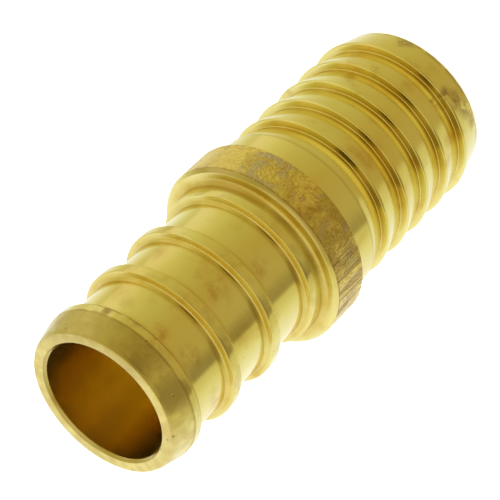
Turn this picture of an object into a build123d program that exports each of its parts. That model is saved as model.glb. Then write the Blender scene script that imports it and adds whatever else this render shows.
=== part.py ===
"""Straight brass insert coupling, turned from one round bar.

One end takes half-inch PEX tube, held by a crimp ring over four ribs. The other end is
pushed into a softer half-inch tube, which five barbs hold. A collar between the two ends
stops both tubes.

Frame: millimetres, +Z up along the bore. The origin is on the axis, in the end face of
the barbed end, so the coupling stands on its barbed end with its crimp end up.
"""

import os

from build123d import *

# ---------------------------------------------------------------- driving dimensions

# Whole coupling
CRIMP_END_LENGTH = 16.15  # from the collar's upper face to the nose
COLLAR_LENGTH = 3.00
BARBED_END_LENGTH = 15.75  # from the end face to the collar's lower face
BORE_RADIUS = 4.60
BORE_MOUTH_LENGTH = 0.20  # chamfer at each mouth of the bore
BORE_MOUTH_DEPTH = 0.19

# Crimp end: a nose with a lead-in cone, then ribs at an even pitch
RIB_RADIUS = 6.035  # 0.475 in across, for a half-inch crimp ring
NECK_RADIUS = 5.45
NOSE_RADIUS = 5.52
NOSE_EDGE_RADIUS = 5.67
NOSE_EDGE_LENGTH = 0.25
CONE_LENGTH = 1.87  # from the nose to the land behind the cone
NOSE_LAND_LENGTH = 0.73
RIB_COUNT = 3
RIB_PITCH = 4.33
FIRST_RIB_DEPTH = 6.12  # from the nose to the land of the first rib
RIB_LAND_LENGTH = 0.83
RIB_LEAN = 0.06  # a rib's steep faces lean out by this much
RIB_LEADING_EDGE = 0.06  # bevel of a land's edge on the nose side
RIB_TRAILING_EDGE = 0.12  # bevel of its other edge
NECK_CORNER = 0.25  # bevel in the corner between a neck and a rib

# Collar, with the bar's own skin on its outside
COLLAR_RADIUS = 7.07
COLLAR_BEVEL = 0.23
COLLAR_ROOT_RADIUS = 0.60  # hollow where the last rib runs into the collar

# Barbed end
BARB_RADIUS = 6.43
BARB_ROOT_RADIUS = 5.85
BARB_COUNT = 5
BARB_PITCH = 2.35
FIRST_BARB_HEIGHT = 2.40  # from the end face to the first barb's crest
BARB_LAND_LENGTH = 0.12
BARB_LEAN = 0.05  # a barb's steep face leans in by this much
PLAIN_NECK_LENGTH = 2.20  # cylinder beside the collar, as wide as the barbs
END_RADIUS = 5.88
END_EDGE_BREAK = 0.15

# ---------------------------------------------------------------- heights along the axis

COLLAR_BOTTOM = BARBED_END_LENGTH
COLLAR_TOP = COLLAR_BOTTOM + COLLAR_LENGTH
NOSE_HEIGHT = COLLAR_TOP + CRIMP_END_LENGTH
NOSE_LAND_TOP = NOSE_HEIGHT - CONE_LENGTH
NOSE_LAND_BOTTOM = NOSE_LAND_TOP - NOSE_LAND_LENGTH


def barb(crest_height):
    """One barb from the end of its ramp to the foot of its steep face, going up."""
    return [
        (BARB_RADIUS, crest_height - BARB_LAND_LENGTH),
        (BARB_RADIUS, crest_height),
        (BARB_ROOT_RADIUS, crest_height + BARB_LEAN),
    ]


def rib(land_top):
    """One rib from its lower foot to its upper foot, going up."""
    land_bottom = land_top - RIB_LAND_LENGTH
    return [
        (NECK_RADIUS, land_bottom - RIB_LEAN),
        (RIB_RADIUS, land_bottom),
        (RIB_RADIUS, land_top),
        (NECK_RADIUS, land_top + RIB_LEAN),
    ]


barb_crests = [FIRST_BARB_HEIGHT + i * BARB_PITCH for i in range(BARB_COUNT)]
land_tops = [NOSE_HEIGHT - FIRST_RIB_DEPTH - i * RIB_PITCH for i in range(RIB_COUNT)]
land_tops.reverse()

# ---------------------------------------------------------------- outline, end face to nose

end_face = [(BORE_RADIUS, 0), (END_RADIUS, 0)]
barbs = [point for crest in barb_crests for point in barb(crest)]
plain_neck = [
    (BARB_RADIUS, COLLAR_BOTTOM - PLAIN_NECK_LENGTH),
    (BARB_RADIUS, COLLAR_BOTTOM),
]
collar = [
    (COLLAR_RADIUS, COLLAR_BOTTOM),
    (COLLAR_RADIUS, COLLAR_TOP - COLLAR_BEVEL),
    (COLLAR_RADIUS - COLLAR_BEVEL, COLLAR_TOP),
    (RIB_RADIUS, COLLAR_TOP),
]
last_rib = rib(land_tops[0])[2:]  # its land runs down into the collar's root
other_ribs = [point for top in land_tops[1:] for point in rib(top)]
nose = [
    (NECK_RADIUS, NOSE_LAND_BOTTOM - RIB_LEAN),
    (RIB_RADIUS, NOSE_LAND_BOTTOM),
    (RIB_RADIUS, NOSE_LAND_TOP),
    (NOSE_EDGE_RADIUS, NOSE_HEIGHT - NOSE_EDGE_LENGTH),
    (NOSE_RADIUS, NOSE_HEIGHT),
    (BORE_RADIUS, NOSE_HEIGHT),
]


def corners(sketch, radius, heights):
    """The outline's corners at one radius and at the given heights."""
    tolerance = 0.01
    return [
        corner
        for corner in sketch.vertices()
        if abs(corner.X - radius) < tolerance
        and any(abs(corner.Y - height) < tolerance for height in heights)
    ]


land_bottoms = [top - RIB_LAND_LENGTH for top in land_tops[1:]] + [NOSE_LAND_BOTTOM]
neck_ends = [top + RIB_LEAN for top in land_tops] + [bottom - RIB_LEAN for bottom in land_bottoms]

# ---------------------------------------------------------------- coupling body

with BuildPart() as coupling_body:
    with BuildSketch(Plane.XZ) as half_section:
        with BuildLine():
            Polyline(
                *end_face,
                *barbs,
                *plain_neck,
                *collar,
                *last_rib,
                *other_ribs,
                *nose,
                close=True,
            )
        make_face()
        chamfer(corners(half_section, RIB_RADIUS, land_tops), RIB_LEADING_EDGE)
        chamfer(corners(half_section, RIB_RADIUS, land_bottoms), RIB_TRAILING_EDGE)
        chamfer(corners(half_section, NECK_RADIUS, neck_ends), NECK_CORNER)
        fillet(corners(half_section, RIB_RADIUS, [COLLAR_TOP]), COLLAR_ROOT_RADIUS)
        chamfer(corners(half_section, END_RADIUS, [0]), END_EDGE_BREAK)
    revolve(axis=Axis.Z)
    bore_edges = coupling_body.edges().filter_by(GeomType.CIRCLE)
    bore_mouths = [edge for edge in bore_edges if abs(edge.radius - BORE_RADIUS) < 0.01]
    chamfer(bore_mouths, length=BORE_MOUTH_LENGTH, length2=BORE_MOUTH_DEPTH)

coupling_body.part.label = "coupling_body"

os.makedirs("parts", exist_ok=True)
export_step(coupling_body.part, "parts/coupling_body.step")
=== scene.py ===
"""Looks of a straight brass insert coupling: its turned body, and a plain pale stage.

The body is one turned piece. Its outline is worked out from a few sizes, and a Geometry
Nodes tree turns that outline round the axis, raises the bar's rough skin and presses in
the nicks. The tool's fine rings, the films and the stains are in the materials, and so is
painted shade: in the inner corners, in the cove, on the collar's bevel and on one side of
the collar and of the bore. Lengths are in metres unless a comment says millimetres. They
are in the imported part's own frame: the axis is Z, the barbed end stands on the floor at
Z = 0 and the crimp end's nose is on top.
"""

import math

import bpy

from mathutils import Matrix, Vector


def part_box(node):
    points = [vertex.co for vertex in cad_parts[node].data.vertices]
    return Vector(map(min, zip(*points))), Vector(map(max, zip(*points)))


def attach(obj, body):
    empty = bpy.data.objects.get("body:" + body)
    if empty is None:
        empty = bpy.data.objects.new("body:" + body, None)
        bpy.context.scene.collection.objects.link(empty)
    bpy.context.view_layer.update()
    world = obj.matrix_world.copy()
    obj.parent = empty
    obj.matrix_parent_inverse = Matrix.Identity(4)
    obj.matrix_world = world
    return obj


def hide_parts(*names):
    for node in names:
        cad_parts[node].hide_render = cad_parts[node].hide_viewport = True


bl_info = {
    "name": "Brass insert coupling",
    "version": (1, 0, 0),
    "blender": (4, 5, 0),
    "location": "3D View > Sidebar > Coupling",
    "description": "Builds a turned brass insert coupling and a plain stage for it",
    "category": "Add Mesh",
}

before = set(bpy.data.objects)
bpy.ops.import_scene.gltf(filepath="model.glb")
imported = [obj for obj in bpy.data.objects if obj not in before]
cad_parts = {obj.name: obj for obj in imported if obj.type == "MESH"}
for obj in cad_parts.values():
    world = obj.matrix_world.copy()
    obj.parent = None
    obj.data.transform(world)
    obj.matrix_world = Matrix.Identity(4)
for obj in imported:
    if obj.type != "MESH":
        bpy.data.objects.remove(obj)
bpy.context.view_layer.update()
BODY_NODE = "coupling_body"
BODY_LOW, BODY_HIGH = (Vector(corner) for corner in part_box(BODY_NODE))

MM = 0.001
LENGTH = BODY_HIGH.z - BODY_LOW.z
COLLAR_RADIUS = (BODY_HIGH.x - BODY_LOW.x) / 2
TOP = LENGTH / MM  # height of the nose's rim in millimetres

# Zones of the outline, each with its own finish
TURNED, BAR_SKIN, BORED = 0.0, 1.0, 2.0

# Longest step along the outline in each zone, short enough for the skin's bumps
LONGEST_STEP = {TURNED: 0.3 * MM, BAR_SKIN: 0.13 * MM, BORED: 1.2 * MM}

# Roundings of the outline's corners
DEBURRED = 0.04 * MM
HANDLED_EDGE = 0.13 * MM
RIB_EDGE = 0.07 * MM
RIB_FOOT = 0.3 * MM
BARB_SHOULDER = 0.2 * MM
BARB_EDGE = 0.08 * MM
BARB_FOOT = 0.09 * MM
CONE_EDGE = 0.1 * MM
RIM_EDGE = 0.16 * MM
FINE_FROM = 0.25 * MM  # a larger rounding is cut into FINE_STEPS, a smaller one into COARSE_STEPS
FINE_STEPS, COARSE_STEPS = 8, 4
LONGEST_REACH = 0.48  # share of a run that the rounding at one of its ends may take

# Nicks on the nose's land and on two ribs: azimuth in degrees, height and width in
# millimetres, and depth as a share of the deepest
NICK_RADIUS = 6.05
NICKS = (
    (-38.0, 32.9, 0.45, 1.0),
    (-43.0, 32.5, 0.35, 0.8),
    (-51.0, 32.8, 0.55, 0.7),
    (-58.0, 32.4, 0.3, 0.9),
    (-66.0, 32.5, 0.35, 0.5),
    (-96.0, 24.1, 0.4, 0.5),
    (-118.0, 28.2, 0.35, 0.4),
)

# Marks on the turned metal: azimuth in degrees; radius, height and reach in millimetres
END_MARKS = (
    (-103.0, 6.4, 2.1, 0.9),
    (-110.0, 6.3, 1.5, 1.3),
    (-120.0, 6.2, 0.9, 1.4),
    (-130.0, 6.1, 0.6, 1.1),
    (-60.0, 5.9, 0.6, 0.9),
    (-59.0, 6.3, 4.1, 0.5),
    (-48.0, 6.0, 32.6, 0.9),
    (-72.0, 6.0, 32.3, 0.7),
    (-84.0, 6.0, 32.4, 0.6),
)
STAINS = (
    (-89.0, 5.45, 26.2, 1.6),
    (-108.0, 5.45, 30.9, 1.3),
    (-84.0, 5.45, 31.6, 1.0),
    (-100.0, 5.45, 22.6, 1.2),
)
SPECKS = (
    (-29.0, 5.75, 34.6, 0.2),
    (-43.0, 5.75, 34.5, 0.16),
    (-112.0, 5.9, 33.4, 0.12),
    (-141.0, 5.45, 27.0, 0.12),
)
MARK_SWAY = 1.2  # millimetres over which the noise moves a mark's outline
CORNER_SHADE_REACH = 0.3 * MM  # how far the painted amber shade in an inner corner spreads

# Rings of the surface that wear in their own way or carry painted shade, in millimetres: the
# radius from and to and the softness of its ends, then the same for the height
ANY_RADIUS = (0.0, 8.0, 1.0)
ANY_HEIGHT = (0.0, TOP, 1.0)
ON_LANDS = (5.98, 6.2, 0.03)
RINGS = {
    "lead cone": ((4.78, 8.0, 0.1), (TOP - 1.85, TOP + 0.1, 0.1)),
    "mouth": ((4.3, 4.78, 0.04), (TOP - 0.4, TOP + 0.1, 0.05)),
    "cone's foot": (ON_LANDS, (TOP - 1.92, TOP - 1.82, 0.08)),
    "nose land's end": (ON_LANDS, (TOP - 2.75, TOP - 2.52, 0.08)),
    "rib lands": (ON_LANDS, (TOP - 15.4, TOP - 1.9, 0.02)),
    "cove": ((6.04, 6.8, 0.02), (18.8, 19.4, 0.1)),
    "collar's bevel": ((6.86, 7.1, 0.04), ANY_HEIGHT),
    "collar's edge": (ANY_RADIUS, (18.44, 18.8, 0.08)),
    "tool line": (ANY_RADIUS, (13.49, 13.61, 0.1)),
    "end face's edge": (ANY_RADIUS, (-0.1, 0.15, 0.5)),
}

# Sectors round the axis where wear gathers or shade is painted, in degrees: the middle
# azimuth, and the angles from it at which the wear or shade starts to fade and is gone
SECTORS = {
    "filmed cone": (-50, 34, 58),
    "painted shade in the cove": (-48, 14, 30),
    "painted shade on the bevel": (-62, 34, 62),
    "scored skin": (-146, 10, 28),
    "shaded skin": (-120, 4, 24),
    "freckled skin": (-90, 14, 34),
    "pale skin": (-60, 5, 17),
    "clean skin": (-28, 10, 30),
    "painted shade in the bore": (175, 10, 55),
}

# The surround that the metal mirrors, lit by SURROUND_STRENGTH. The tent fills the half round
# TENT_AZIMUTH and the white card the other half. TENT runs from the tent's dark side to its
# bright side and CARD from the card's near edge outward. Directions are compared by the cosine
# of the angle between them
SURROUND_STRENGTH = 1.15
TENT_AZIMUTH = -70.0
TENT = (
    (0.085, "#928560"),
    (0.125, "#B5A774"),
    (0.42, "#B7A366"),
    (0.60, "#BCB074"),
    (0.74, "#C5BC80"),
    (0.84, "#D3CC98"),
    (0.90, "#E4DCBC"),
)
CARD = (
    (0.05, "#CFC898"),
    (0.25, "#D8D3A8"),
    (0.52, "#E9EAD5"),
    (0.77, "#F3F5FA"),
    (1.0, "#FFFFFF"),
)
CARD_EDGE = -0.07  # cosine from the tent's middle at which the card is whole
CARD_WHITEST = -0.82  # cosine from the tent's middle at which the card is whitest
OPENING_WAY = (0.07, -1.0, 0.23)
OPENING_EDGE, OPENING_CORE = 0.93, 0.98
OPENING_TONE = 0.12  # share of the tent's light that the opening still gives
OVERHEAD = "#F2EDD8"
OVERHEAD_EDGE, OVERHEAD_CORE = 0.72, 0.85

# Stage
LAMP_PLACE = (0.05, 0.1, 0.5)
LAMP_WIDTH = 0.35
AIM = (0.36 * MM, 0.0, 18.264 * MM)  # the point that the camera looks at


# ------------------------------------------------------------------ sizes and colours


def linear(hex_code):
    """A colour written as sRGB hex, as linear red, green and blue with full alpha."""
    values = [int(hex_code[i : i + 2], 16) / 255 for i in (1, 3, 5)]
    bright = [v / 12.92 if v <= 0.04045 else ((v + 0.055) / 1.055) ** 2.4 for v in values]
    return (*bright, 1.0)


def length(name, millimetres, description):
    """A length property with its default given in millimetres."""
    return bpy.props.FloatProperty(
        name=name,
        description=description,
        default=millimetres * MM,
        unit="LENGTH",
        subtype="DISTANCE",
        min=0.0,
        precision=5,
    )


def colour(name, hex_code, description):
    """A colour property with its default given as sRGB hex."""
    return bpy.props.FloatVectorProperty(
        name=name,
        description=description,
        default=linear(hex_code),
        size=4,
        subtype="COLOR",
        min=0.0,
        max=1.0,
    )


class CouplingSizes(bpy.types.PropertyGroup):
    """Sizes of the turned body."""

    bore_radius: length("Bore radius", 4.6, "Radius of the water way")
    bore_mouth: length("Bore mouth", 0.2, "Chamfer at each mouth of the bore")
    rib_radius: length("Rib radius", 6.035, "Radius of the ribs and of the nose's land")
    neck_radius: length("Neck radius", 5.45, "Radius between the ribs")
    nose_radius: length("Nose radius", 5.52, "Outer radius of the nose's flat rim")
    nose_edge_radius: length("Nose edge radius", 5.67, "Radius where the lead cone starts")
    nose_edge_length: length("Nose edge length", 0.25, "Axial length of the rim's bevel")
    cone_length: length("Cone length", 1.87, "From the rim to the land behind the cone")
    nose_land: length("Nose land", 0.73, "Length of the land behind the lead cone")
    rib_land: length("Rib land", 0.83, "Length of a rib's land")
    rib_lean: length("Rib lean", 0.06, "Lean of a rib's steep faces")
    rib_pitch: length("Rib pitch", 4.33, "Distance from rib to rib")
    first_rib: length("First rib", 6.12, "From the rim to the first rib's land")
    crimp_length: length("Crimp length", 16.15, "From the rim to the collar")
    collar_length: length("Collar length", 3.0, "Length of the collar")
    collar_bevel: length("Collar bevel", 0.23, "Bevel of the collar's upper edge")
    collar_root: length("Collar root", 0.6, "Hollow between the last rib and the collar")
    barb_radius: length("Barb radius", 6.43, "Radius of the barbs and the plain neck")
    barb_root: length("Barb root", 5.85, "Radius at a barb's foot")
    barb_pitch: length("Barb pitch", 2.35, "Distance from barb to barb")
    first_barb: length("First barb", 2.4, "From the end face to the first barb's crest")
    barb_land: length("Barb land", 0.16, "Length of a barb's crest")
    barb_lean: length("Barb lean", 0.05, "Lean of a barb's step")
    plain_neck: length("Plain neck", 2.2, "Length of the neck beside the collar")
    end_radius: length("End radius", 5.88, "Outer radius of the end face")
    end_break: length("End break", 0.15, "Break of the end face's edge")
    rib_count: bpy.props.IntProperty(
        name="Ribs", description="Ribs behind the nose", default=3, min=1
    )
    barb_count: bpy.props.IntProperty(name="Barbs", description="Barbs", default=5, min=1)
    segments: bpy.props.IntProperty(
        name="Segments", description="Faces round the body", default=236, min=24
    )
    skin_grain: length("Skin grain", 0.42, "Size of the bumps on the drawn bar's skin")
    skin_depth: length("Skin depth", 0.05, "Height of the bumps on the drawn bar's skin")
    nick_depth: length("Nick depth", 0.07, "Depth of the deepest nick")
    seed: bpy.props.IntProperty(name="Seed", description="Seed of the skin's bumps", default=4)


class BrassColours(bpy.types.PropertyGroup):
    """Colours and roughness of the body's three finishes."""

    turned: colour("Turned brass", "#E9DE90", "Clean metal left by the cutting tool")
    # Dull handled brass on the lead cone, and painted shade in the cove
    dull_brass_and_cove_shade: colour("Dull turned brass", "#CFBA70", "Handled metal on the cone and in the cove")
    turned_warm: colour("Warm turned brass", "#E2C45C", "Turned metal with a warmer film")
    scuffed: colour("Scuffed", "#A08258", "Brownish scuffs by the barbed end and on the nose")
    stain: colour("Stain", "#B98A2E", "Copper-coloured stains and freckles")
    rubbed: colour("Rubbed land", "#AE9850", "Olive film on the ribs' lands and the cone")
    # Painted shade: the amber of the inner corners, where the metal mirrors itself
    corner_shade: colour("Crevice", "#CAA834", "Dried cutting fluid in the inner corners")
    skin: colour("Bar skin", "#F0D97C", "Drawn bar's skin on the collar")
    skin_olive: colour("Olive bar skin", "#CDB562", "Olive patches on the skin")
    # Dark oxide on the skin and in pits, specks and burrs; also painted shade on the collar's bevel, on one
    # side of the collar and on one side of the bore
    dark_oxide_and_shade: colour("Dark bar skin", "#9C7E3C", "Dark oxide in hollows, pits and burrs")
    skin_pale: colour("Pale bar skin", "#C2B398", "Greyish patches on the skin")
    bored: colour("Bored brass", "#F8EBA4", "Metal inside the bore")
    roughness: bpy.props.FloatProperty(
        name="Roughness",
        description="Roughness of the turned metal",
        default=0.14,
        min=0.0,
        max=1.0,
        subtype="FACTOR",
    )


class StageLook(bpy.types.PropertyGroup):
    """Floor, light and camera."""

    floor: colour("Floor", "#DCDCDC", "Colour of the floor")
    floor_size: length("Floor size", 1600.0, "Width of the floor")
    glow: colour("Glow", "#FFFFFF", "Colour of the light from below")
    floor_glow: bpy.props.FloatProperty(
        name="Floor glow", description="Light that the floor gives from below", default=0.85, min=0.0
    )
    key_power: bpy.props.FloatProperty(
        name="Key power", description="Power of the light overhead", default=4.0, min=0.0, unit="POWER"
    )
    lens: bpy.props.FloatProperty(
        name="Lens", description="Focal length in millimetres", default=250.85, min=1.0
    )
    elevation: bpy.props.FloatProperty(
        name="Elevation",
        description="Angle at which the camera looks down",
        default=math.radians(35.14),
        subtype="ANGLE",
    )
    roll: bpy.props.FloatProperty(
        name="Roll",
        description="Turn of the camera about its line of sight",
        default=math.radians(-134.49),
        subtype="ANGLE",
    )
    distance: length("Distance", 231.75, "From the camera to the point it looks at")


# ------------------------------------------------------------------ node helpers


def add(tree, kind, links=None, **settings):
    """Add a node of a kind with its settings, and link or set its inputs by name or place."""
    node = tree.nodes.new(kind)
    for name, value in settings.items():
        setattr(node, name, value)
    for key, value in (links or {}).items():
        socket = node.inputs[key]
        if isinstance(value, bpy.types.NodeSocket):
            tree.links.new(value, socket)
        else:
            socket.default_value = value
    return node


def combined(tree, operation, *values):
    """Values taken together in turn by one operation, such as the product of several shares."""
    total = values[0]
    for value in values[1:]:
        total = add(tree, "ShaderNodeMath", {0: total, 1: value}, operation=operation).outputs[0]
    return total


def layered(tree, ground, *layers):
    """A colour with others laid over it in turn, each (colour, share, further shares).

    A layer covers the product of its shares.
    """
    for tone, *shares in layers:
        cover = combined(tree, "MULTIPLY", *shares)
        mixed = add(tree, "ShaderNodeMix", {0: cover, 6: ground, 7: tone}, data_type="RGBA")
        ground = mixed.outputs[2]
    return ground


# ------------------------------------------------------------------ outline


def rounded(corners):
    """Closed outline with every corner rounded by its own size.

    Each corner is (radius, height, rounding, zone). The zone belongs to the run after it.
    A point comes back as (radius, height, zone, hollow); hollow is 1 in an inner corner.
    """
    points = []
    count = len(corners)
    for i, (x, z, rounding, zone) in enumerate(corners):
        here = Vector((x, z))
        back = Vector(corners[i - 1][:2]) - here
        ahead = Vector(corners[(i + 1) % count][:2]) - here
        half = back.angle(ahead) / 2
        reach = min(rounding / math.tan(half), LONGEST_REACH * min(back.length, ahead.length))
        radius = reach * math.tan(half)
        inward = (back.normalized() + ahead.normalized()).normalized()
        centre = here + inward * radius / math.sin(half)
        start = here + back.normalized() * reach - centre
        end = here + ahead.normalized() * reach - centre
        turn = start.angle_signed(end)
        hollow = float(back.cross(ahead) > 0 and zone != BORED)
        steps = FINE_STEPS if rounding >= FINE_FROM else COARSE_STEPS
        for step in range(steps + 1):
            share = step / steps
            spoke = start.copy()
            spoke.rotate(Matrix.Rotation(-turn * share, 2))
            point = centre + spoke
            points.append((point.x, point.y, zone if share >= 0.5 else corners[i - 1][3], hollow))
    return points


def spread(points):
    """The outline with its long runs cut into even steps; hollow fades along them."""
    rows = []
    for i, (x, z, zone, hollow) in enumerate(points):
        next_x, next_z, _, next_hollow = points[(i + 1) % len(points)]
        run = math.hypot(next_x - x, next_z - z)
        cuts = max(1, math.ceil(run / LONGEST_STEP[zone]))
        for j in range(cuts):
            gone = j / cuts
            from_here = hollow * (1 - gone * run / CORNER_SHADE_REACH)
            from_next = next_hollow * (1 - (1 - gone) * run / CORNER_SHADE_REACH)
            # Share of the painted amber shade, fading away from each inner corner
            stain = max(from_here, from_next, 0.0)
            rows.append((x + (next_x - x) * gone, z + (next_z - z) * gone, zone, stain))
    return rows


def outline(sizes):
    """The body's half section from the bore's lower mouth, out and up, and back down the bore."""
    collar_top = LENGTH - sizes.crimp_length
    collar_bottom = collar_top - sizes.collar_length
    mouth = sizes.bore_mouth

    corners = [
        (sizes.bore_radius, mouth, DEBURRED, TURNED),
        (sizes.bore_radius + mouth, 0.0, DEBURRED, TURNED),
        (sizes.end_radius - sizes.end_break, 0.0, DEBURRED, TURNED),
        (sizes.end_radius, sizes.end_break, DEBURRED, TURNED),
    ]
    for i in range(sizes.barb_count):
        crest = sizes.first_barb + i * sizes.barb_pitch
        corners += [
            (sizes.barb_radius, crest - sizes.barb_land, BARB_SHOULDER, TURNED),
            (sizes.barb_radius, crest, BARB_EDGE, TURNED),
            (sizes.barb_root, crest + sizes.barb_lean, BARB_FOOT, TURNED),
        ]
    corners += [
        (sizes.barb_radius, collar_bottom - sizes.plain_neck, HANDLED_EDGE, TURNED),
        (sizes.barb_radius, collar_bottom, DEBURRED, TURNED),
        (COLLAR_RADIUS, collar_bottom, DEBURRED, BAR_SKIN),
        (COLLAR_RADIUS, collar_top - sizes.collar_bevel, DEBURRED, TURNED),
        (COLLAR_RADIUS - sizes.collar_bevel, collar_top, DEBURRED, TURNED),
        (sizes.rib_radius, collar_top, sizes.collar_root, TURNED),
    ]
    for i in reversed(range(sizes.rib_count)):
        land_top = LENGTH - sizes.first_rib - i * sizes.rib_pitch
        land_bottom = land_top - sizes.rib_land
        if i < sizes.rib_count - 1:
            corners += [
                (sizes.neck_radius, land_bottom - sizes.rib_lean, RIB_FOOT, TURNED),
                (sizes.rib_radius, land_bottom, HANDLED_EDGE, TURNED),
            ]
        corners += [
            (sizes.rib_radius, land_top, RIB_EDGE, TURNED),
            (sizes.neck_radius, land_top + sizes.rib_lean, RIB_FOOT, TURNED),
        ]
    land_top = LENGTH - sizes.cone_length
    land_bottom = land_top - sizes.nose_land
    corners += [
        (sizes.neck_radius, land_bottom - sizes.rib_lean, RIB_FOOT, TURNED),
        (sizes.rib_radius, land_bottom, HANDLED_EDGE, TURNED),
        (sizes.rib_radius, land_top, HANDLED_EDGE, TURNED),
        (sizes.nose_edge_radius, LENGTH - sizes.nose_edge_length, CONE_EDGE, TURNED),
        (sizes.nose_radius, LENGTH, RIM_EDGE, TURNED),
        (sizes.bore_radius + mouth, LENGTH, RIM_EDGE, TURNED),
        (sizes.bore_radius, LENGTH - mouth, DEBURRED, BORED),
    ]
    return spread(rounded(corners))


# ------------------------------------------------------------------ materials


def new_material(name):
    """An empty node material, and the tree to fill."""
    material = bpy.data.materials.new(name)
    material.use_nodes = True
    material.node_tree.nodes.clear()
    return material, material.node_tree


def in_millimetres(tree):
    """The point on the piece in millimetres, and its height and radius."""
    place = add(tree, "ShaderNodeTexCoord").outputs["Object"]
    point = add(tree, "ShaderNodeVectorMath", {0: place, 3: 1 / MM}, operation="SCALE").outputs[0]
    parts = add(tree, "ShaderNodeSeparateXYZ", {0: point}).outputs
    flat = add(tree, "ShaderNodeCombineXYZ", {"X": parts["X"], "Y": parts["Y"]}).outputs[0]
    spoke = add(tree, "ShaderNodeVectorMath", {0: flat}, operation="LENGTH")
    return point, parts["Z"], spoke.outputs["Value"]


def blotches(
    tree, point, size, low, high, stretch=(1, 1, 1), detail=4.0, turn=(0, 0, 0), least=0.0, most=1.0
):
    """Soft patches of a size in millimetres: least where noise is under low, most over high."""
    scale = [s / size for s in stretch]
    scaled = add(tree, "ShaderNodeMapping", {"Vector": point, "Rotation": turn, "Scale": scale}).outputs[0]
    noise = add(tree, "ShaderNodeTexNoise", {"Vector": scaled, "Scale": 1.0, "Detail": detail})
    level = add(
        tree,
        "ShaderNodeMapRange",
        {0: noise.outputs["Fac"], 1: low, 2: high, 3: least, 4: most},
        interpolation_type="SMOOTHSTEP",
    )
    return level.outputs[0]


def ring(tree, name, height, radius):
    """1 in a named ring of the surface, fading to 0 beyond its ends."""
    inside = []
    for value, (low, high, soft) in zip((radius, height), RINGS[name]):
        for none, full in ((low - soft, low), (high + soft, high)):
            fade = add(
                tree,
                "ShaderNodeMapRange",
                {0: value, 1: none, 2: full},
                interpolation_type="SMOOTHSTEP",
            )
            inside.append(fade.outputs[0])
    return combined(tree, "MULTIPLY", *inside)


def sector(tree, name, point, least=0.0, most=1.0):
    """Most in a named sector round the axis, fading to least outside it."""
    azimuth, inner, outer = (math.radians(angle) for angle in SECTORS[name])
    middle = (math.cos(azimuth), math.sin(azimuth), 0.0)
    flat = add(tree, "ShaderNodeVectorMath", {0: point, 1: (1.0, 1.0, 0.0)}, operation="MULTIPLY")
    unit = add(tree, "ShaderNodeVectorMath", {0: flat.outputs[0]}, operation="NORMALIZE")
    towards = add(tree, "ShaderNodeVectorMath", {0: unit.outputs[0], 1: middle}, operation="DOT_PRODUCT")
    level = add(
        tree,
        "ShaderNodeMapRange",
        {0: towards.outputs["Value"], 1: math.cos(outer), 2: math.cos(inner), 3: least, 4: most},
        interpolation_type="SMOOTHSTEP",
    )
    return level.outputs[0]


def marks(tree, point, places):
    """1 at each place on the outside, fading to 0 at its uneven reach.

    A place is (azimuth in degrees, radius, height and reach in millimetres).
    """
    wave = add(tree, "ShaderNodeTexNoise", {"Vector": point, "Scale": 1.1, "Detail": 3.0}).outputs["Color"]
    shift = add(tree, "ShaderNodeVectorMath", {0: wave, 1: (0.5, 0.5, 0.5)}, operation="SUBTRACT")
    swayed = add(
        tree,
        "ShaderNodeVectorMath",
        {0: shift.outputs[0], 1: (MARK_SWAY, MARK_SWAY, MARK_SWAY), 2: point},
        operation="MULTIPLY_ADD",
    )
    spot = swayed.outputs[0]
    near = []
    for azimuth, radius, height, reach in places:
        turn = math.radians(azimuth)
        centre = (radius * math.cos(turn), radius * math.sin(turn), height)
        apart = add(tree, "ShaderNodeVectorMath", {0: spot, 1: centre}, operation="DISTANCE")
        fade = add(
            tree,
            "ShaderNodeMapRange",
            {0: apart.outputs["Value"], 1: reach, 2: 0.0},
            interpolation_type="SMOOTHSTEP",
        )
        near.append(fade.outputs[0])
    return combined(tree, "MAXIMUM", *near)


def pits(tree, point, spacing, radius):
    """Small round pits, sized in millimetres: 1 in a pit, 0 outside. One cell in four has one."""
    empty_share = 0.75
    cells = add(tree, "ShaderNodeTexVoronoi", {"Vector": point, "Scale": 1 / spacing, "Randomness": 1.0})
    near = add(
        tree,
        "ShaderNodeMapRange",
        {0: cells.outputs["Distance"], 1: radius / spacing, 2: 0.5 * radius / spacing},
        interpolation_type="SMOOTHSTEP",
    )
    draw = add(tree, "ShaderNodeSeparateColor", {0: cells.outputs["Color"]}).outputs[0]
    pitted = combined(tree, "GREATER_THAN", draw, empty_share)
    return combined(tree, "MULTIPLY", near.outputs[0], pitted)


def turning_marks(tree, point, height, radius, pitch):
    """Fine rings that the tool leaves, at an uneven pitch in millimetres.

    They follow the sum of height and radius, so they show both on the sides and on the
    faces. Real ones are about 0.05 mm apart, too fine to show, so they are drawn coarser.
    """
    drift = 0.06
    steps = combined(tree, "DIVIDE", combined(tree, "ADD", height, radius), pitch)
    slow = add(tree, "ShaderNodeVectorMath", {0: point, 3: drift}, operation="SCALE").outputs[0]
    parts = add(tree, "ShaderNodeSeparateXYZ", {0: slow}).outputs
    mark = add(tree, "ShaderNodeCombineXYZ", {"X": parts["X"], "Y": parts["Y"], "Z": steps}).outputs[0]
    rings = add(tree, "ShaderNodeTexNoise", {"Vector": mark, "Scale": 1.0, "Detail": 2.0})
    return rings.outputs["Fac"]


def bare_metal(tree, metal, roughness, relief, depth):
    """Close a tree with bare metal whose relief has a depth in millimetres."""
    bump = add(tree, "ShaderNodeBump", {"Height": relief, "Distance": depth * MM, "Strength": 1.0})
    shader = add(
        tree,
        "ShaderNodeBsdfPrincipled",
        {"Metallic": 1.0, "Roughness": roughness, "Base Color": metal, "Normal": bump.outputs[0]},
    )
    add(tree, "ShaderNodeOutputMaterial", {"Surface": shader.outputs["BSDF"]})


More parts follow.
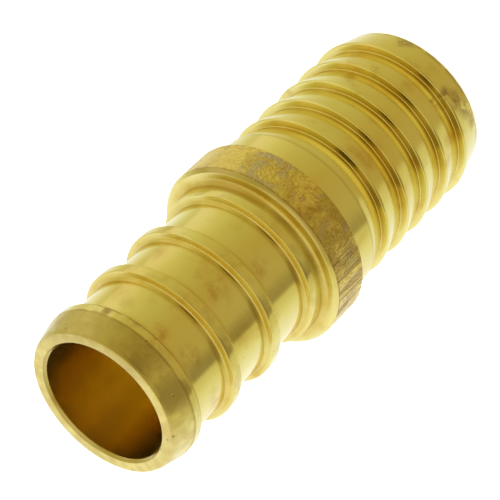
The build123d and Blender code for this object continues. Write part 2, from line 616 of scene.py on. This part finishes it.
def turned_brass(colours):
    """Free-cutting brass, turned and lightly handled.

    The tool leaves bright metal with fine rings, which draw each highlight out a little.
    Handling leaves faint copper-coloured stains, a duller lead cone with dark pits, and
    brown marks by the barbed end's edge. The inner corners are painted amber, as painted
    shade where the metal mirrors itself, and painted shade darkens the cove and one side of
    the collar's bevel.
    """
    material, tree = new_material("turned brass")
    point, height, radius = in_millimetres(tree)
    worn_roughness = colours.roughness + 0.26

    cone = ring(tree, "lead cone", height, radius)
    cove = ring(tree, "cove", height, radius)
    # 1 in the inner corners: it sets where amber shade is painted, and roughens them a little
    hollow = add(tree, "ShaderNodeAttribute", attribute_name="hollow").outputs["Fac"]
    film = blotches(tree, point, size=0.8, low=0.15, high=0.75, detail=9.0)
    dull = combined(tree, "MULTIPLY", cone, film)
    cone_foot = combined(tree, "MULTIPLY", 0.7, ring(tree, "cone's foot", height, radius))
    burr = combined(tree, "MAXIMUM", ring(tree, "nose land's end", height, radius), cone_foot)
    end_edge = combined(tree, "MULTIPLY", 0.6, ring(tree, "end face's edge", height, radius))
    end_marks = combined(tree, "MAXIMUM", marks(tree, point, END_MARKS), end_edge)
    cone_pits = combined(tree, "MULTIPLY", cone, pits(tree, point, spacing=0.9, radius=0.13))

    bevel = ring(tree, "collar's bevel", height, radius)
    rub = blotches(tree, point, size=1.0, low=0.42, high=0.66, detail=9.0)
    burn = blotches(tree, point, size=1.3, low=0.3, high=0.55, detail=6.0)
    scuff = blotches(tree, point, size=0.6, low=0.36, high=0.54, detail=8.0)
    blush = blotches(tree, point, size=0.9, low=0.3, high=0.7, detail=6.0)
    # Strength of the painted amber shade in the inner corners
    dried = blotches(tree, point, size=1.6, low=0.3, high=0.7, least=0.3, most=0.65)
    metal = layered(
        tree,
        colours.turned,
        (colours.turned_warm, 0.35, blotches(tree, point, size=5.0, low=0.35, high=0.7)),
        (colours.stain, 0.4, blotches(tree, point, size=2.6, low=0.56, high=0.74, detail=6.0)),
        (colours.dull_brass_and_cove_shade, 0.8, dull),
        (colours.rubbed, 0.25, ring(tree, "rib lands", height, radius), rub),
        (colours.dark_oxide_and_shade, 0.7, burr, burn),
        # Painted shade on one side of the collar's bevel
        (colours.dark_oxide_and_shade, 0.55, bevel, sector(tree, "painted shade on the bevel", point)),
        (colours.rubbed, 0.3, ring(tree, "tool line", height, radius)),
        (colours.scuffed, 0.85, end_marks, scuff),
        # Painted shade in the cove, on one side
        (colours.dull_brass_and_cove_shade, cove, sector(tree, "painted shade in the cove", point)),
        (colours.stain, 0.6, marks(tree, point, STAINS), blush),
        (colours.dark_oxide_and_shade, 0.8, marks(tree, point, SPECKS)),
        (colours.rubbed, 0.5, cone, sector(tree, "filmed cone", point)),
        (colours.dark_oxide_and_shade, 0.6, ring(tree, "mouth", height, radius)),
        (colours.dark_oxide_and_shade, 0.75, cone_pits),
        (colours.dark_oxide_and_shade, 0.5, pits(tree, point, spacing=2.6, radius=0.09)),
        # Painted shade: amber in the inner corners
        (colours.corner_shade, hollow, dried),
    )

    wear = combined(tree, "MAXIMUM", dull, cove, combined(tree, "MULTIPLY", 0.35, hollow))
    rough = add(tree, "ShaderNodeMapRange", {0: wear, 3: colours.roughness, 4: worn_roughness})

    # Waves and dents are given in units of the rings' own depth
    rings = turning_marks(tree, point, height, radius, pitch=0.09)
    fine = blotches(tree, point, size=0.5, low=0.2, high=0.8, detail=6.0)
    waves = combined(tree, "MULTIPLY", 1.6, fine, wear)
    dents = combined(tree, "MULTIPLY", -6.0, cone_pits)
    relief = combined(tree, "ADD", rings, waves, dents)
    bare_metal(tree, metal, rough.outputs[0], relief, depth=0.003)
    return material


def drawn_bar_brass(colours):
    """Brass bar as drawn, never cut by the tool.

    The die leaves short lines along the bar and a grainy skin. Oxide and dried lubricant
    mottle it: orange gold, olive brown in the hollows, greyish where it was rubbed. Painted
    shade darkens one side.
    """
    material, tree = new_material("drawn bar brass")
    point, height, radius = in_millimetres(tree)
    along = (1, 1, 0.6)
    lengthwise = (1, 1, 0.1)

    grain = blotches(tree, point, size=0.22, low=0.4, high=0.64, detail=3.0)
    scores = blotches(tree, point, size=0.42, low=0.52, high=0.6, stretch=lengthwise, detail=2.0)
    olive = blotches(tree, point, size=1.3, low=0.44, high=0.62, stretch=along, detail=9.0)
    dark = blotches(tree, point, size=2.4, low=0.54, high=0.66, stretch=along, detail=9.0)
    shade = blotches(tree, point, size=1.2, low=0.3, high=0.6, detail=7.0)
    amber = blotches(tree, point, size=0.5, low=0.54, high=0.62, turn=(0.9, 0.1, 0.5))
    pale = blotches(tree, point, size=1.0, low=0.5, high=0.56, stretch=(1, 1, 1.3), detail=6.0)
    grey = blotches(
        tree, point, size=0.9, low=0.55, high=0.64, stretch=(1, 1, 0.7), detail=9.0, turn=(0.4, 0.2, 0.3)
    )
    broken = blotches(tree, point, size=1.0, low=0.25, high=0.55)
    uncleaned = sector(tree, "clean skin", point, least=1.0, most=0.25)
    freckled = sector(tree, "freckled skin", point, least=0.2, most=0.45)
    scored = combined(tree, "MULTIPLY", scores, sector(tree, "scored skin", point))
    metal = layered(
        tree,
        colours.skin,
        (colours.skin_olive, 0.5, olive, uncleaned),
        (colours.dark_oxide_and_shade, 0.4, dark, uncleaned),
        # Painted shade on one side of the collar
        (colours.dark_oxide_and_shade, 0.55, shade, sector(tree, "shaded skin", point)),
        (colours.dark_oxide_and_shade, 0.25, grain, uncleaned),
        (colours.stain, amber, freckled),
        (colours.skin_pale, 0.75, pale, sector(tree, "pale skin", point)),
        (colours.skin_pale, 0.35, grey),
        (colours.dark_oxide_and_shade, 0.6, scored),
        (colours.dark_oxide_and_shade, 0.7, ring(tree, "collar's edge", height, radius), broken),
    )

    rough = add(tree, "ShaderNodeMapRange", {0: grey, 3: 0.3, 4: 0.46})
    ridges = combined(tree, "ADD", grain, combined(tree, "MULTIPLY", -2.5, scored))
    bare_metal(tree, metal, rough.outputs[0], ridges, depth=0.03)
    return material


def bored_brass(colours):
    """Drilled and reamed brass: the bore mirrors only itself, which deepens its colour.

    The reamer leaves slightly rougher metal than the tool, with shallow rings and specks.
    Painted shade darkens one side, in blotches.
    """
    material, tree = new_material("bored brass")
    point, height, radius = in_millimetres(tree)
    film = blotches(tree, point, size=1.8, low=0.35, high=0.65, detail=7.0)
    # Blotches that break up the painted shade on one side of the bore
    oxide = blotches(tree, point, size=2.4, low=0.25, high=0.6, detail=8.0)
    metal = layered(
        tree,
        colours.bored,
        (colours.turned_warm, 0.4, film),
        # Painted shade on one side of the bore
        (colours.dark_oxide_and_shade, 0.35, oxide, sector(tree, "painted shade in the bore", point)),
        (colours.dark_oxide_and_shade, 0.6, pits(tree, point, spacing=1.5, radius=0.12)),
    )
    rough = add(tree, "ShaderNodeMapRange", {0: film, 3: 0.16, 4: 0.24})
    rings = turning_marks(tree, point, height, radius, pitch=0.15)
    bare_metal(tree, metal, rough.outputs[0], rings, depth=0.004)
    return material


def white_acrylic(look):
    """Matt white acrylic sheet lit from below: an even white ground with next to no shadow."""
    material, tree = new_material("matt white acrylic lit from below")
    shader = add(
        tree,
        "ShaderNodeBsdfPrincipled",
        {
            "Base Color": look.floor,
            "Roughness": 0.8,
            "Emission Color": look.glow,
            "Emission Strength": look.floor_glow,
        },
    )
    add(tree, "ShaderNodeOutputMaterial", {"Surface": shader.outputs["BSDF"]})
    return material


# ------------------------------------------------------------------ body


def surface_wear(tree, given, zone):
    """Radial offset of the outer surface: the bar's grainy skin, and the nicks."""
    place = add(tree, "GeometryNodeInputPosition").outputs[0]
    parts = add(tree, "ShaderNodeSeparateXYZ", {0: place}).outputs
    flat = add(tree, "ShaderNodeCombineXYZ", {"X": parts["X"], "Y": parts["Y"]}).outputs[0]
    outward = add(tree, "ShaderNodeVectorMath", {0: flat}, operation="NORMALIZE").outputs[0]

    per_grain = combined(tree, "DIVIDE", 1.0, given["Skin grain"])
    spot = add(tree, "ShaderNodeVectorMath", {0: place, 3: per_grain}, operation="SCALE")
    noise = add(
        tree,
        "ShaderNodeTexNoise",
        {"Vector": spot.outputs[0], "W": given["Seed"], "Scale": 1.0, "Detail": 3.0},
        noise_dimensions="4D",
    )
    centred = combined(tree, "SUBTRACT", noise.outputs["Fac"], 0.5)
    on_skin = add(tree, "FunctionNodeCompare", {0: zone, 1: BAR_SKIN}, data_type="FLOAT", operation="EQUAL")
    skin = combined(tree, "MULTIPLY", centred, given["Skin depth"], on_skin.outputs["Result"])

    pressed = []
    for azimuth, height, width, depth in NICKS:
        turn = math.radians(azimuth)
        radius = NICK_RADIUS * MM
        centre = (radius * math.cos(turn), radius * math.sin(turn), height * MM)
        apart = add(tree, "ShaderNodeVectorMath", {0: place, 1: centre}, operation="DISTANCE")
        near = add(
            tree,
            "ShaderNodeMapRange",
            {0: apart.outputs["Value"], 1: width * MM, 2: 0.0, 3: 0.0, 4: depth},
            interpolation_type="SMOOTHSTEP",
        )
        pressed.append(near.outputs[0])
    sunk = combined(tree, "MULTIPLY", combined(tree, "ADD", *pressed), given["Nick depth"])
    offset = combined(tree, "SUBTRACT", skin, sunk)
    return add(tree, "ShaderNodeVectorMath", {0: outward, 3: offset}, operation="SCALE").outputs[0]


def turning_tree(materials):
    """Geometry Nodes tree that turns an outline round Z and gives each zone its finish."""
    tree = bpy.data.node_groups.new("turn outline", "GeometryNodeTree")
    face = tree.interface
    face.new_socket("Outline", in_out="INPUT", socket_type="NodeSocketGeometry")
    face.new_socket("Segments", in_out="INPUT", socket_type="NodeSocketInt")
    for name in ("Skin grain", "Skin depth", "Nick depth", "Seed"):
        face.new_socket(name, in_out="INPUT", socket_type="NodeSocketFloat")
    face.new_socket("Body", in_out="OUTPUT", socket_type="NodeSocketGeometry")
    given = add(tree, "NodeGroupInput").outputs
    outline_mesh = given["Outline"]

    rows = add(tree, "GeometryNodeAttributeDomainSize", {"Geometry": outline_mesh}).outputs["Point Count"]
    across = add(tree, "FunctionNodeIntegerMath", {0: given["Segments"], 1: 1}, operation="ADD")
    down = add(tree, "FunctionNodeIntegerMath", {0: rows, 1: 1}, operation="ADD")
    grid = add(
        tree,
        "GeometryNodeMeshGrid",
        {"Size X": 1.0, "Size Y": 1.0, "Vertices X": down.outputs[0], "Vertices Y": across.outputs[0]},
    )
    uv = add(
        tree,
        "GeometryNodeStoreNamedAttribute",
        {"Geometry": grid.outputs["Mesh"], "Name": "OFBake", "Value": grid.outputs["UV Map"]},
        data_type="FLOAT2",
        domain="CORNER",
    )
    index = add(tree, "GeometryNodeInputIndex").outputs[0]
    row = add(tree, "FunctionNodeIntegerMath", {0: index, 1: across.outputs[0]}, operation="DIVIDE_FLOOR")
    turn = add(tree, "FunctionNodeIntegerMath", {0: index, 1: across.outputs[0]}, operation="MODULO")
    source = add(tree, "FunctionNodeIntegerMath", {0: row.outputs[0], 1: rows}, operation="MODULO")
    station = add(
        tree,
        "GeometryNodeSampleIndex",
        {
            "Geometry": outline_mesh,
            "Value": add(tree, "GeometryNodeInputPosition").outputs[0],
            "Index": source.outputs[0],
        },
        data_type="FLOAT_VECTOR",
    )
    carried = {}
    for name in ("zone", "hollow"):
        drawn = add(tree, "GeometryNodeInputNamedAttribute", {"Name": name}, data_type="FLOAT")
        carried[name] = add(
            tree,
            "GeometryNodeSampleIndex",
            {"Geometry": outline_mesh, "Value": drawn.outputs["Attribute"], "Index": source.outputs[0]},
            data_type="FLOAT",
        ).outputs["Value"]
    share = combined(tree, "DIVIDE", turn.outputs[0], given["Segments"])
    angle = combined(tree, "MULTIPLY", share, math.tau)
    place = add(tree, "ShaderNodeSeparateXYZ", {0: station.outputs["Value"]})
    spoke = add(tree, "ShaderNodeCombineXYZ", {"X": place.outputs["X"], "Z": place.outputs["Z"]})
    turned = add(
        tree,
        "ShaderNodeVectorRotate",
        {"Vector": spoke.outputs[0], "Axis": (0.0, 0.0, 1.0), "Angle": angle},
        rotation_type="AXIS_ANGLE",
    )
    marked = uv.outputs["Geometry"]
    for name, value in carried.items():
        kept = add(
            tree,
            "GeometryNodeStoreNamedAttribute",
            {"Geometry": marked, "Name": name, "Value": value},
            data_type="FLOAT",
            domain="POINT",
        )
        marked = kept.outputs["Geometry"]
    shaped = add(tree, "GeometryNodeSetPosition", {"Geometry": marked, "Position": turned.outputs[0]})
    skinned = add(
        tree,
        "GeometryNodeSetPosition",
        {"Geometry": shaped.outputs["Geometry"], "Offset": surface_wear(tree, given, carried["zone"])},
    )
    closed = add(
        tree,
        "GeometryNodeMergeByDistance",
        {"Geometry": skinned.outputs["Geometry"], "Distance": 0.001 * MM},
    )
    # A grid bent round this way has its faces pointing at the metal, so they are turned outwards
    outward = add(tree, "GeometryNodeFlipFaces", {"Mesh": closed.outputs["Geometry"]})
    smooth = add(tree, "GeometryNodeSetShadeSmooth", {"Geometry": outward.outputs["Mesh"]})
    real = add(tree, "GeometryNodeRealizeInstances", {"Geometry": smooth.outputs["Geometry"]})
    face_zone = add(tree, "GeometryNodeInputNamedAttribute", {"Name": "zone"}, data_type="FLOAT")
    result = real.outputs["Geometry"]
    for zone_number, material in materials.items():
        chosen = add(
            tree,
            "FunctionNodeCompare",
            {0: face_zone.outputs["Attribute"], 1: zone_number - 0.5},
            data_type="FLOAT",
            operation="GREATER_THAN",
        )
        finish = add(
            tree,
            "GeometryNodeSetMaterial",
            {"Geometry": result, "Selection": chosen.outputs["Result"], "Material": material},
        )
        result = finish.outputs["Geometry"]
    add(tree, "NodeGroupOutput", {"Body": result})
    return tree


def socket_id(tree, name):
    """Identifier of a tree's named input, which a modifier's value is set by."""
    return next(item.identifier for item in tree.interface.items_tree if item.name == name)


class COUPLING_OT_body(bpy.types.Operator):
    """Turn the coupling's body from its outline and give it its finishes"""

    bl_idname = "coupling.body"
    bl_label = "Coupling body"

    def execute(self, context):
        sizes = context.scene.coupling_sizes
        colours = context.scene.coupling_colours
        rows = outline(sizes)
        stations = [(x, 0.0, z) for x, z, _, _ in rows]
        edges = [(i, (i + 1) % len(rows)) for i in range(len(rows))]
        wire = bpy.data.meshes.new("outline")
        wire.from_pydata(stations, edges, [])
        for name, place in (("zone", 2), ("hollow", 3)):
            values = wire.attributes.new(name, "FLOAT", "POINT").data
            values.foreach_set("value", [row[place] for row in rows])
        maker = bpy.data.objects.new("outline", wire)
        context.scene.collection.objects.link(maker)

        materials = {
            TURNED: turned_brass(colours),
            BAR_SKIN: drawn_bar_brass(colours),
            BORED: bored_brass(colours),
        }
        tree = turning_tree(materials)
        modifier = maker.modifiers.new("turning", "NODES")
        modifier.node_group = tree
        settings = {
            "Segments": sizes.segments,
            "Skin grain": sizes.skin_grain,
            "Skin depth": sizes.skin_depth,
            "Nick depth": sizes.nick_depth,
            "Seed": float(sizes.seed),
        }
        for name, value in settings.items():
            modifier[socket_id(tree, name)] = value
        context.view_layer.update()
        finished = maker.evaluated_get(context.evaluated_depsgraph_get())
        mesh = bpy.data.meshes.new_from_object(finished)
        maker.modifiers.clear()
        bpy.data.objects.remove(maker)
        if not mesh.polygons:
            raise RuntimeError("the turning tree made no faces")

        body = bpy.data.objects.new("turned_body", mesh)
        context.scene.collection.objects.link(body)
        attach(body, "root")
        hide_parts(BODY_NODE)
        return {"FINISHED"}


# ------------------------------------------------------------------ stage


def soft_light(scene, name, place, aim, size, power):
    """A square soft light at a place, turned towards a point."""
    lamp = bpy.data.lights.new(name, "AREA")
    lamp.shape = "SQUARE"
    lamp.size = size
    lamp.energy = power
    light = bpy.data.objects.new(name, lamp)
    light.location = place
    light.rotation_euler = (Vector(aim) - Vector(place)).to_track_quat("-Z", "Y").to_euler()
    scene.collection.objects.link(light)
    return light


def studio_surround():
    """World light of a small studio: a white card on one side, a dim tent on the other.

    The card fills the half of the surround away from TENT_AZIMUTH. The tent is brighter on
    one side and has a small dark opening in front, a little above the floor's level. A pale
    panel hangs overhead. The barbs' steps mirror the opening as short dark dashes.
    """
    world = bpy.data.worlds.new("studio surround")
    world.use_nodes = True
    tree = world.node_tree
    tree.nodes.clear()
    way = add(tree, "ShaderNodeTexCoord").outputs["Generated"]

    def facing(direction):
        """Cosine of the angle between a ray's way and a direction."""
        unit = tuple(Vector(direction).normalized())
        product = add(tree, "ShaderNodeVectorMath", {0: way, 1: unit}, operation="DOT_PRODUCT")
        return product.outputs["Value"]

    def patch(direction, edge, core, outside=0.0, inside=1.0):
        """Value that goes softly from outside to inside, from the edge's cosine to the core's."""
        level = add(
            tree,
            "ShaderNodeMapRange",
            {0: facing(direction), 1: edge, 2: core, 3: outside, 4: inside},
            interpolation_type="SMOOTHSTEP",
        )
        return level.outputs[0]

    def graded(direction, start, end, stops):
        """Colour that runs through stops of place and sRGB hex, from one cosine to another."""
        position = add(tree, "ShaderNodeMapRange", {0: facing(direction), 1: start, 2: end})
        node = add(tree, "ShaderNodeValToRGB", {0: position.outputs[0]})
        elements = node.color_ramp.elements
        while len(elements) < len(stops):
            elements.new(0.5)
        for element, (place, tone) in zip(elements, stops):
            element.position = place
            element.color = linear(tone)
        return node.outputs["Color"]

    turn = math.radians(TENT_AZIMUTH)
    towards = (math.cos(turn), math.sin(turn), 0.0)
    across = (-math.sin(turn), math.cos(turn), 0.0)
    up = (0.0, 0.0, 1.0)
    black = (0.0, 0.0, 0.0, 1.0)
    tent = graded(across, -1.0, 1.0, TENT)
    card = graded(towards, 0.0, CARD_WHITEST, CARD)
    not_open = patch(OPENING_WAY, OPENING_EDGE, OPENING_CORE, 1.0, OPENING_TONE)
    whole = layered(
        tree,
        black,
        (tent, not_open),
        (card, patch(towards, 0.0, CARD_EDGE)),
        (linear(OVERHEAD), patch(up, OVERHEAD_EDGE, OVERHEAD_CORE)),
    )
    light = add(tree, "ShaderNodeBackground", {"Color": whole, "Strength": SURROUND_STRENGTH})
    add(tree, "ShaderNodeOutputWorld", {"Surface": light.outputs[0]})
    return world


class COUPLING_OT_stage(bpy.types.Operator):
    """Lay a pale floor under the coupling, light it softly and set the camera"""

    bl_idname = "coupling.stage"
    bl_label = "Stage"

    def execute(self, context):
        scene = context.scene
        look = scene.coupling_stage
        middle = (0.0, 0.0, LENGTH / 2)

        half = look.floor_size / 2
        corners = [(-half, -half, 0), (half, -half, 0), (half, half, 0), (-half, half, 0)]
        sheet = bpy.data.meshes.new("floor")
        sheet.from_pydata(corners, [], [(0, 1, 2, 3)])
        sheet.materials.append(white_acrylic(look))
        floor = bpy.data.objects.new("floor", sheet)
        scene.collection.objects.link(floor)

        # The metal mirrors the surround alone, so the floor and the lamp stay out of its highlights
        scene.world = studio_surround()
        lamp = soft_light(scene, "overhead", LAMP_PLACE, middle, LAMP_WIDTH, look.key_power)
        lamp.visible_glossy = False
        floor.visible_glossy = False

        view = bpy.data.cameras.new("camera")
        view.lens = look.lens
        view.sensor_width = 36.0
        view.clip_start = 0.01
        camera = bpy.data.objects.new("camera", view)
        tilt = Matrix.Rotation(math.pi / 2 - look.elevation, 4, "X")
        roll = Matrix.Rotation(look.roll, 4, "Z")
        sight = Vector((0.0, math.cos(look.elevation), -math.sin(look.elevation)))
        camera.matrix_world = Matrix.Translation(Vector(AIM) - sight * look.distance) @ tilt @ roll
        scene.collection.objects.link(camera)
        scene.camera = camera
        scene.view_settings.view_transform = "Standard"
        scene.cycles.glossy_bounces = 8
        return {"FINISHED"}


class COUPLING_PT_panel(bpy.types.Panel):
    """Sidebar panel with the coupling's pieces"""

    bl_label = "Coupling"
    bl_space_type = "VIEW_3D"
    bl_region_type = "UI"
    bl_category = "Coupling"

    def draw(self, context):
        for operator in OPERATORS:
            self.layout.operator(operator.bl_idname)


OPERATORS = (COUPLING_OT_body, COUPLING_OT_stage)
GROUPS = {
    "coupling_sizes": CouplingSizes,
    "coupling_colours": BrassColours,
    "coupling_stage": StageLook,
}


def register():
    for group in GROUPS.values():
        bpy.utils.register_class(group)
    for operator in OPERATORS:
        bpy.utils.register_class(operator)
    bpy.utils.register_class(COUPLING_PT_panel)
    for name, group in GROUPS.items():
        setattr(bpy.types.Scene, name, bpy.props.PointerProperty(type=group))


def unregister():
    for name in GROUPS:
        delattr(bpy.types.Scene, name)
    bpy.utils.unregister_class(COUPLING_PT_panel)
    for kind in (*OPERATORS, *GROUPS.values()):
        bpy.utils.unregister_class(kind)


def main():
    """Build the coupling and its stage."""
    register()
    bpy.ops.coupling.body()
    bpy.ops.coupling.stage()


if __name__ == "__main__":
    main()
